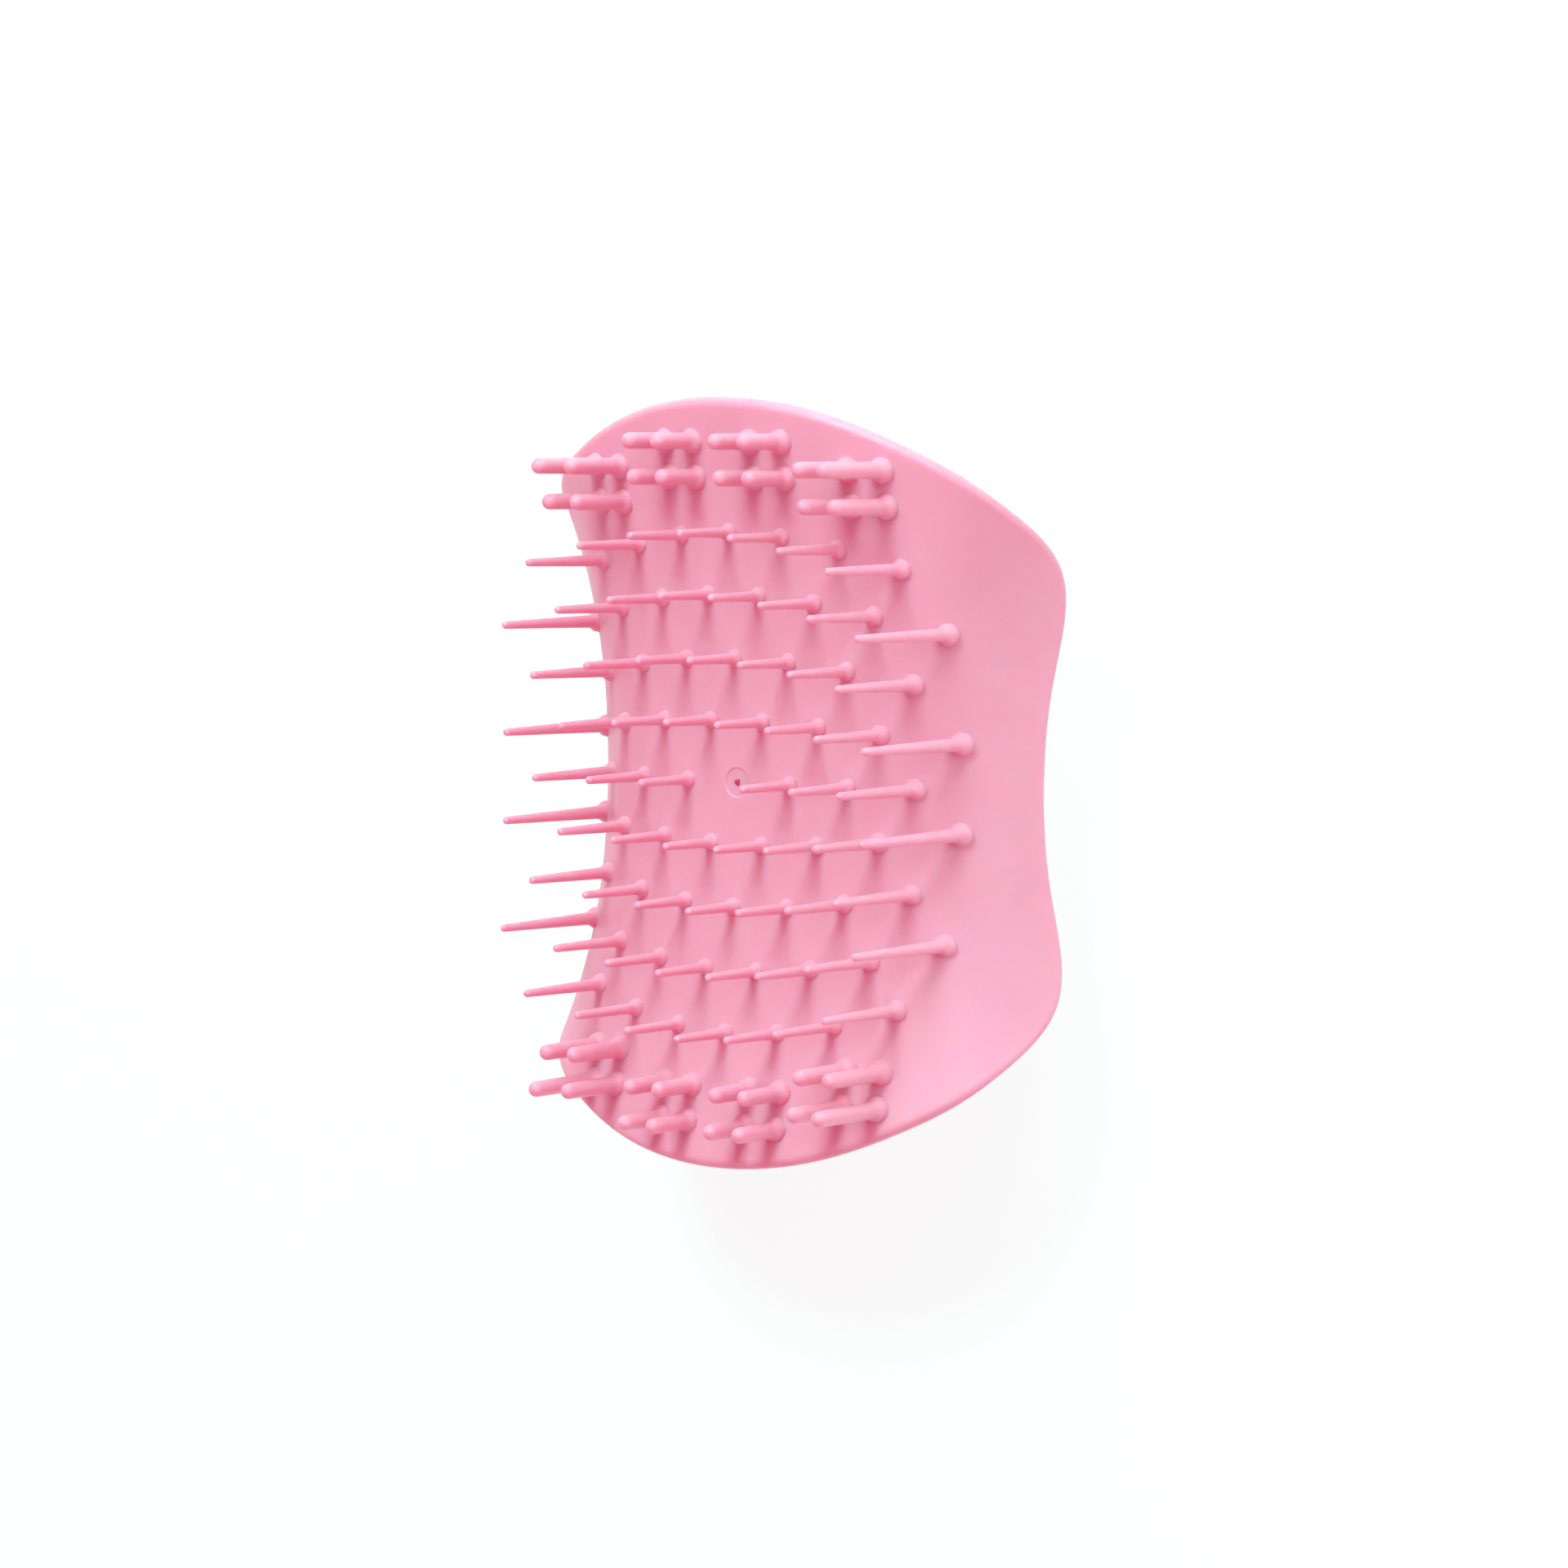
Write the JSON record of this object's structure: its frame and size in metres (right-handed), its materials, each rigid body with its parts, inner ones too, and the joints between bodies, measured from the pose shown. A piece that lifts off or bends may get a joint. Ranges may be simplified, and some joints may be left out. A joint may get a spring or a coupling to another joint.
{
  "type": "scalp massager brush",
  "caption": "Palm-held oval scalp massager brush: a saddle-shaped plate of fine and thick ball-tipped teeth over a hollow domed grip.",
  "frame": {"origin": "middle of the small resting flat on the grip's crown, which is the lowest point of the brush", "axes": "+X across the brush's width, +Y along its length, +Z from the grip up to the teeth"},
  "size_m": [0.0698, 0.0912, 0.0467],
  "materials": {
    "back_shell": "satin",
    "tooth_plate": "satin",
    "fine_teeth": "satin",
    "massage_teeth": "satin"
  },
  "bodies": {
    "root": {"back_shell": "back_shell", "tooth_plate": "tooth_plate", "fine_tooth_row_1": "fine_teeth", "fine_tooth_row_2": "fine_teeth", "fine_tooth_row_3": "fine_teeth", "fine_tooth_row_4": "fine_teeth", "fine_tooth_row_5": "fine_teeth", "fine_tooth_row_6": "fine_teeth", "fine_tooth_row_7": "fine_teeth", "fine_tooth_row_8": "fine_teeth", "fine_tooth_row_9": "fine_teeth", "massage_cluster_top_left_inner": "massage_teeth", "massage_cluster_top_left_outer": "massage_teeth", "massage_cluster_top_right_inner": "massage_teeth", "massage_cluster_top_right_outer": "massage_teeth", "massage_cluster_bottom_left_inner": "massage_teeth", "massage_cluster_bottom_left_outer": "massage_teeth", "massage_cluster_bottom_right_inner": "massage_teeth", "massage_cluster_bottom_right_outer": "massage_teeth"}
  },
  "joints": []
}
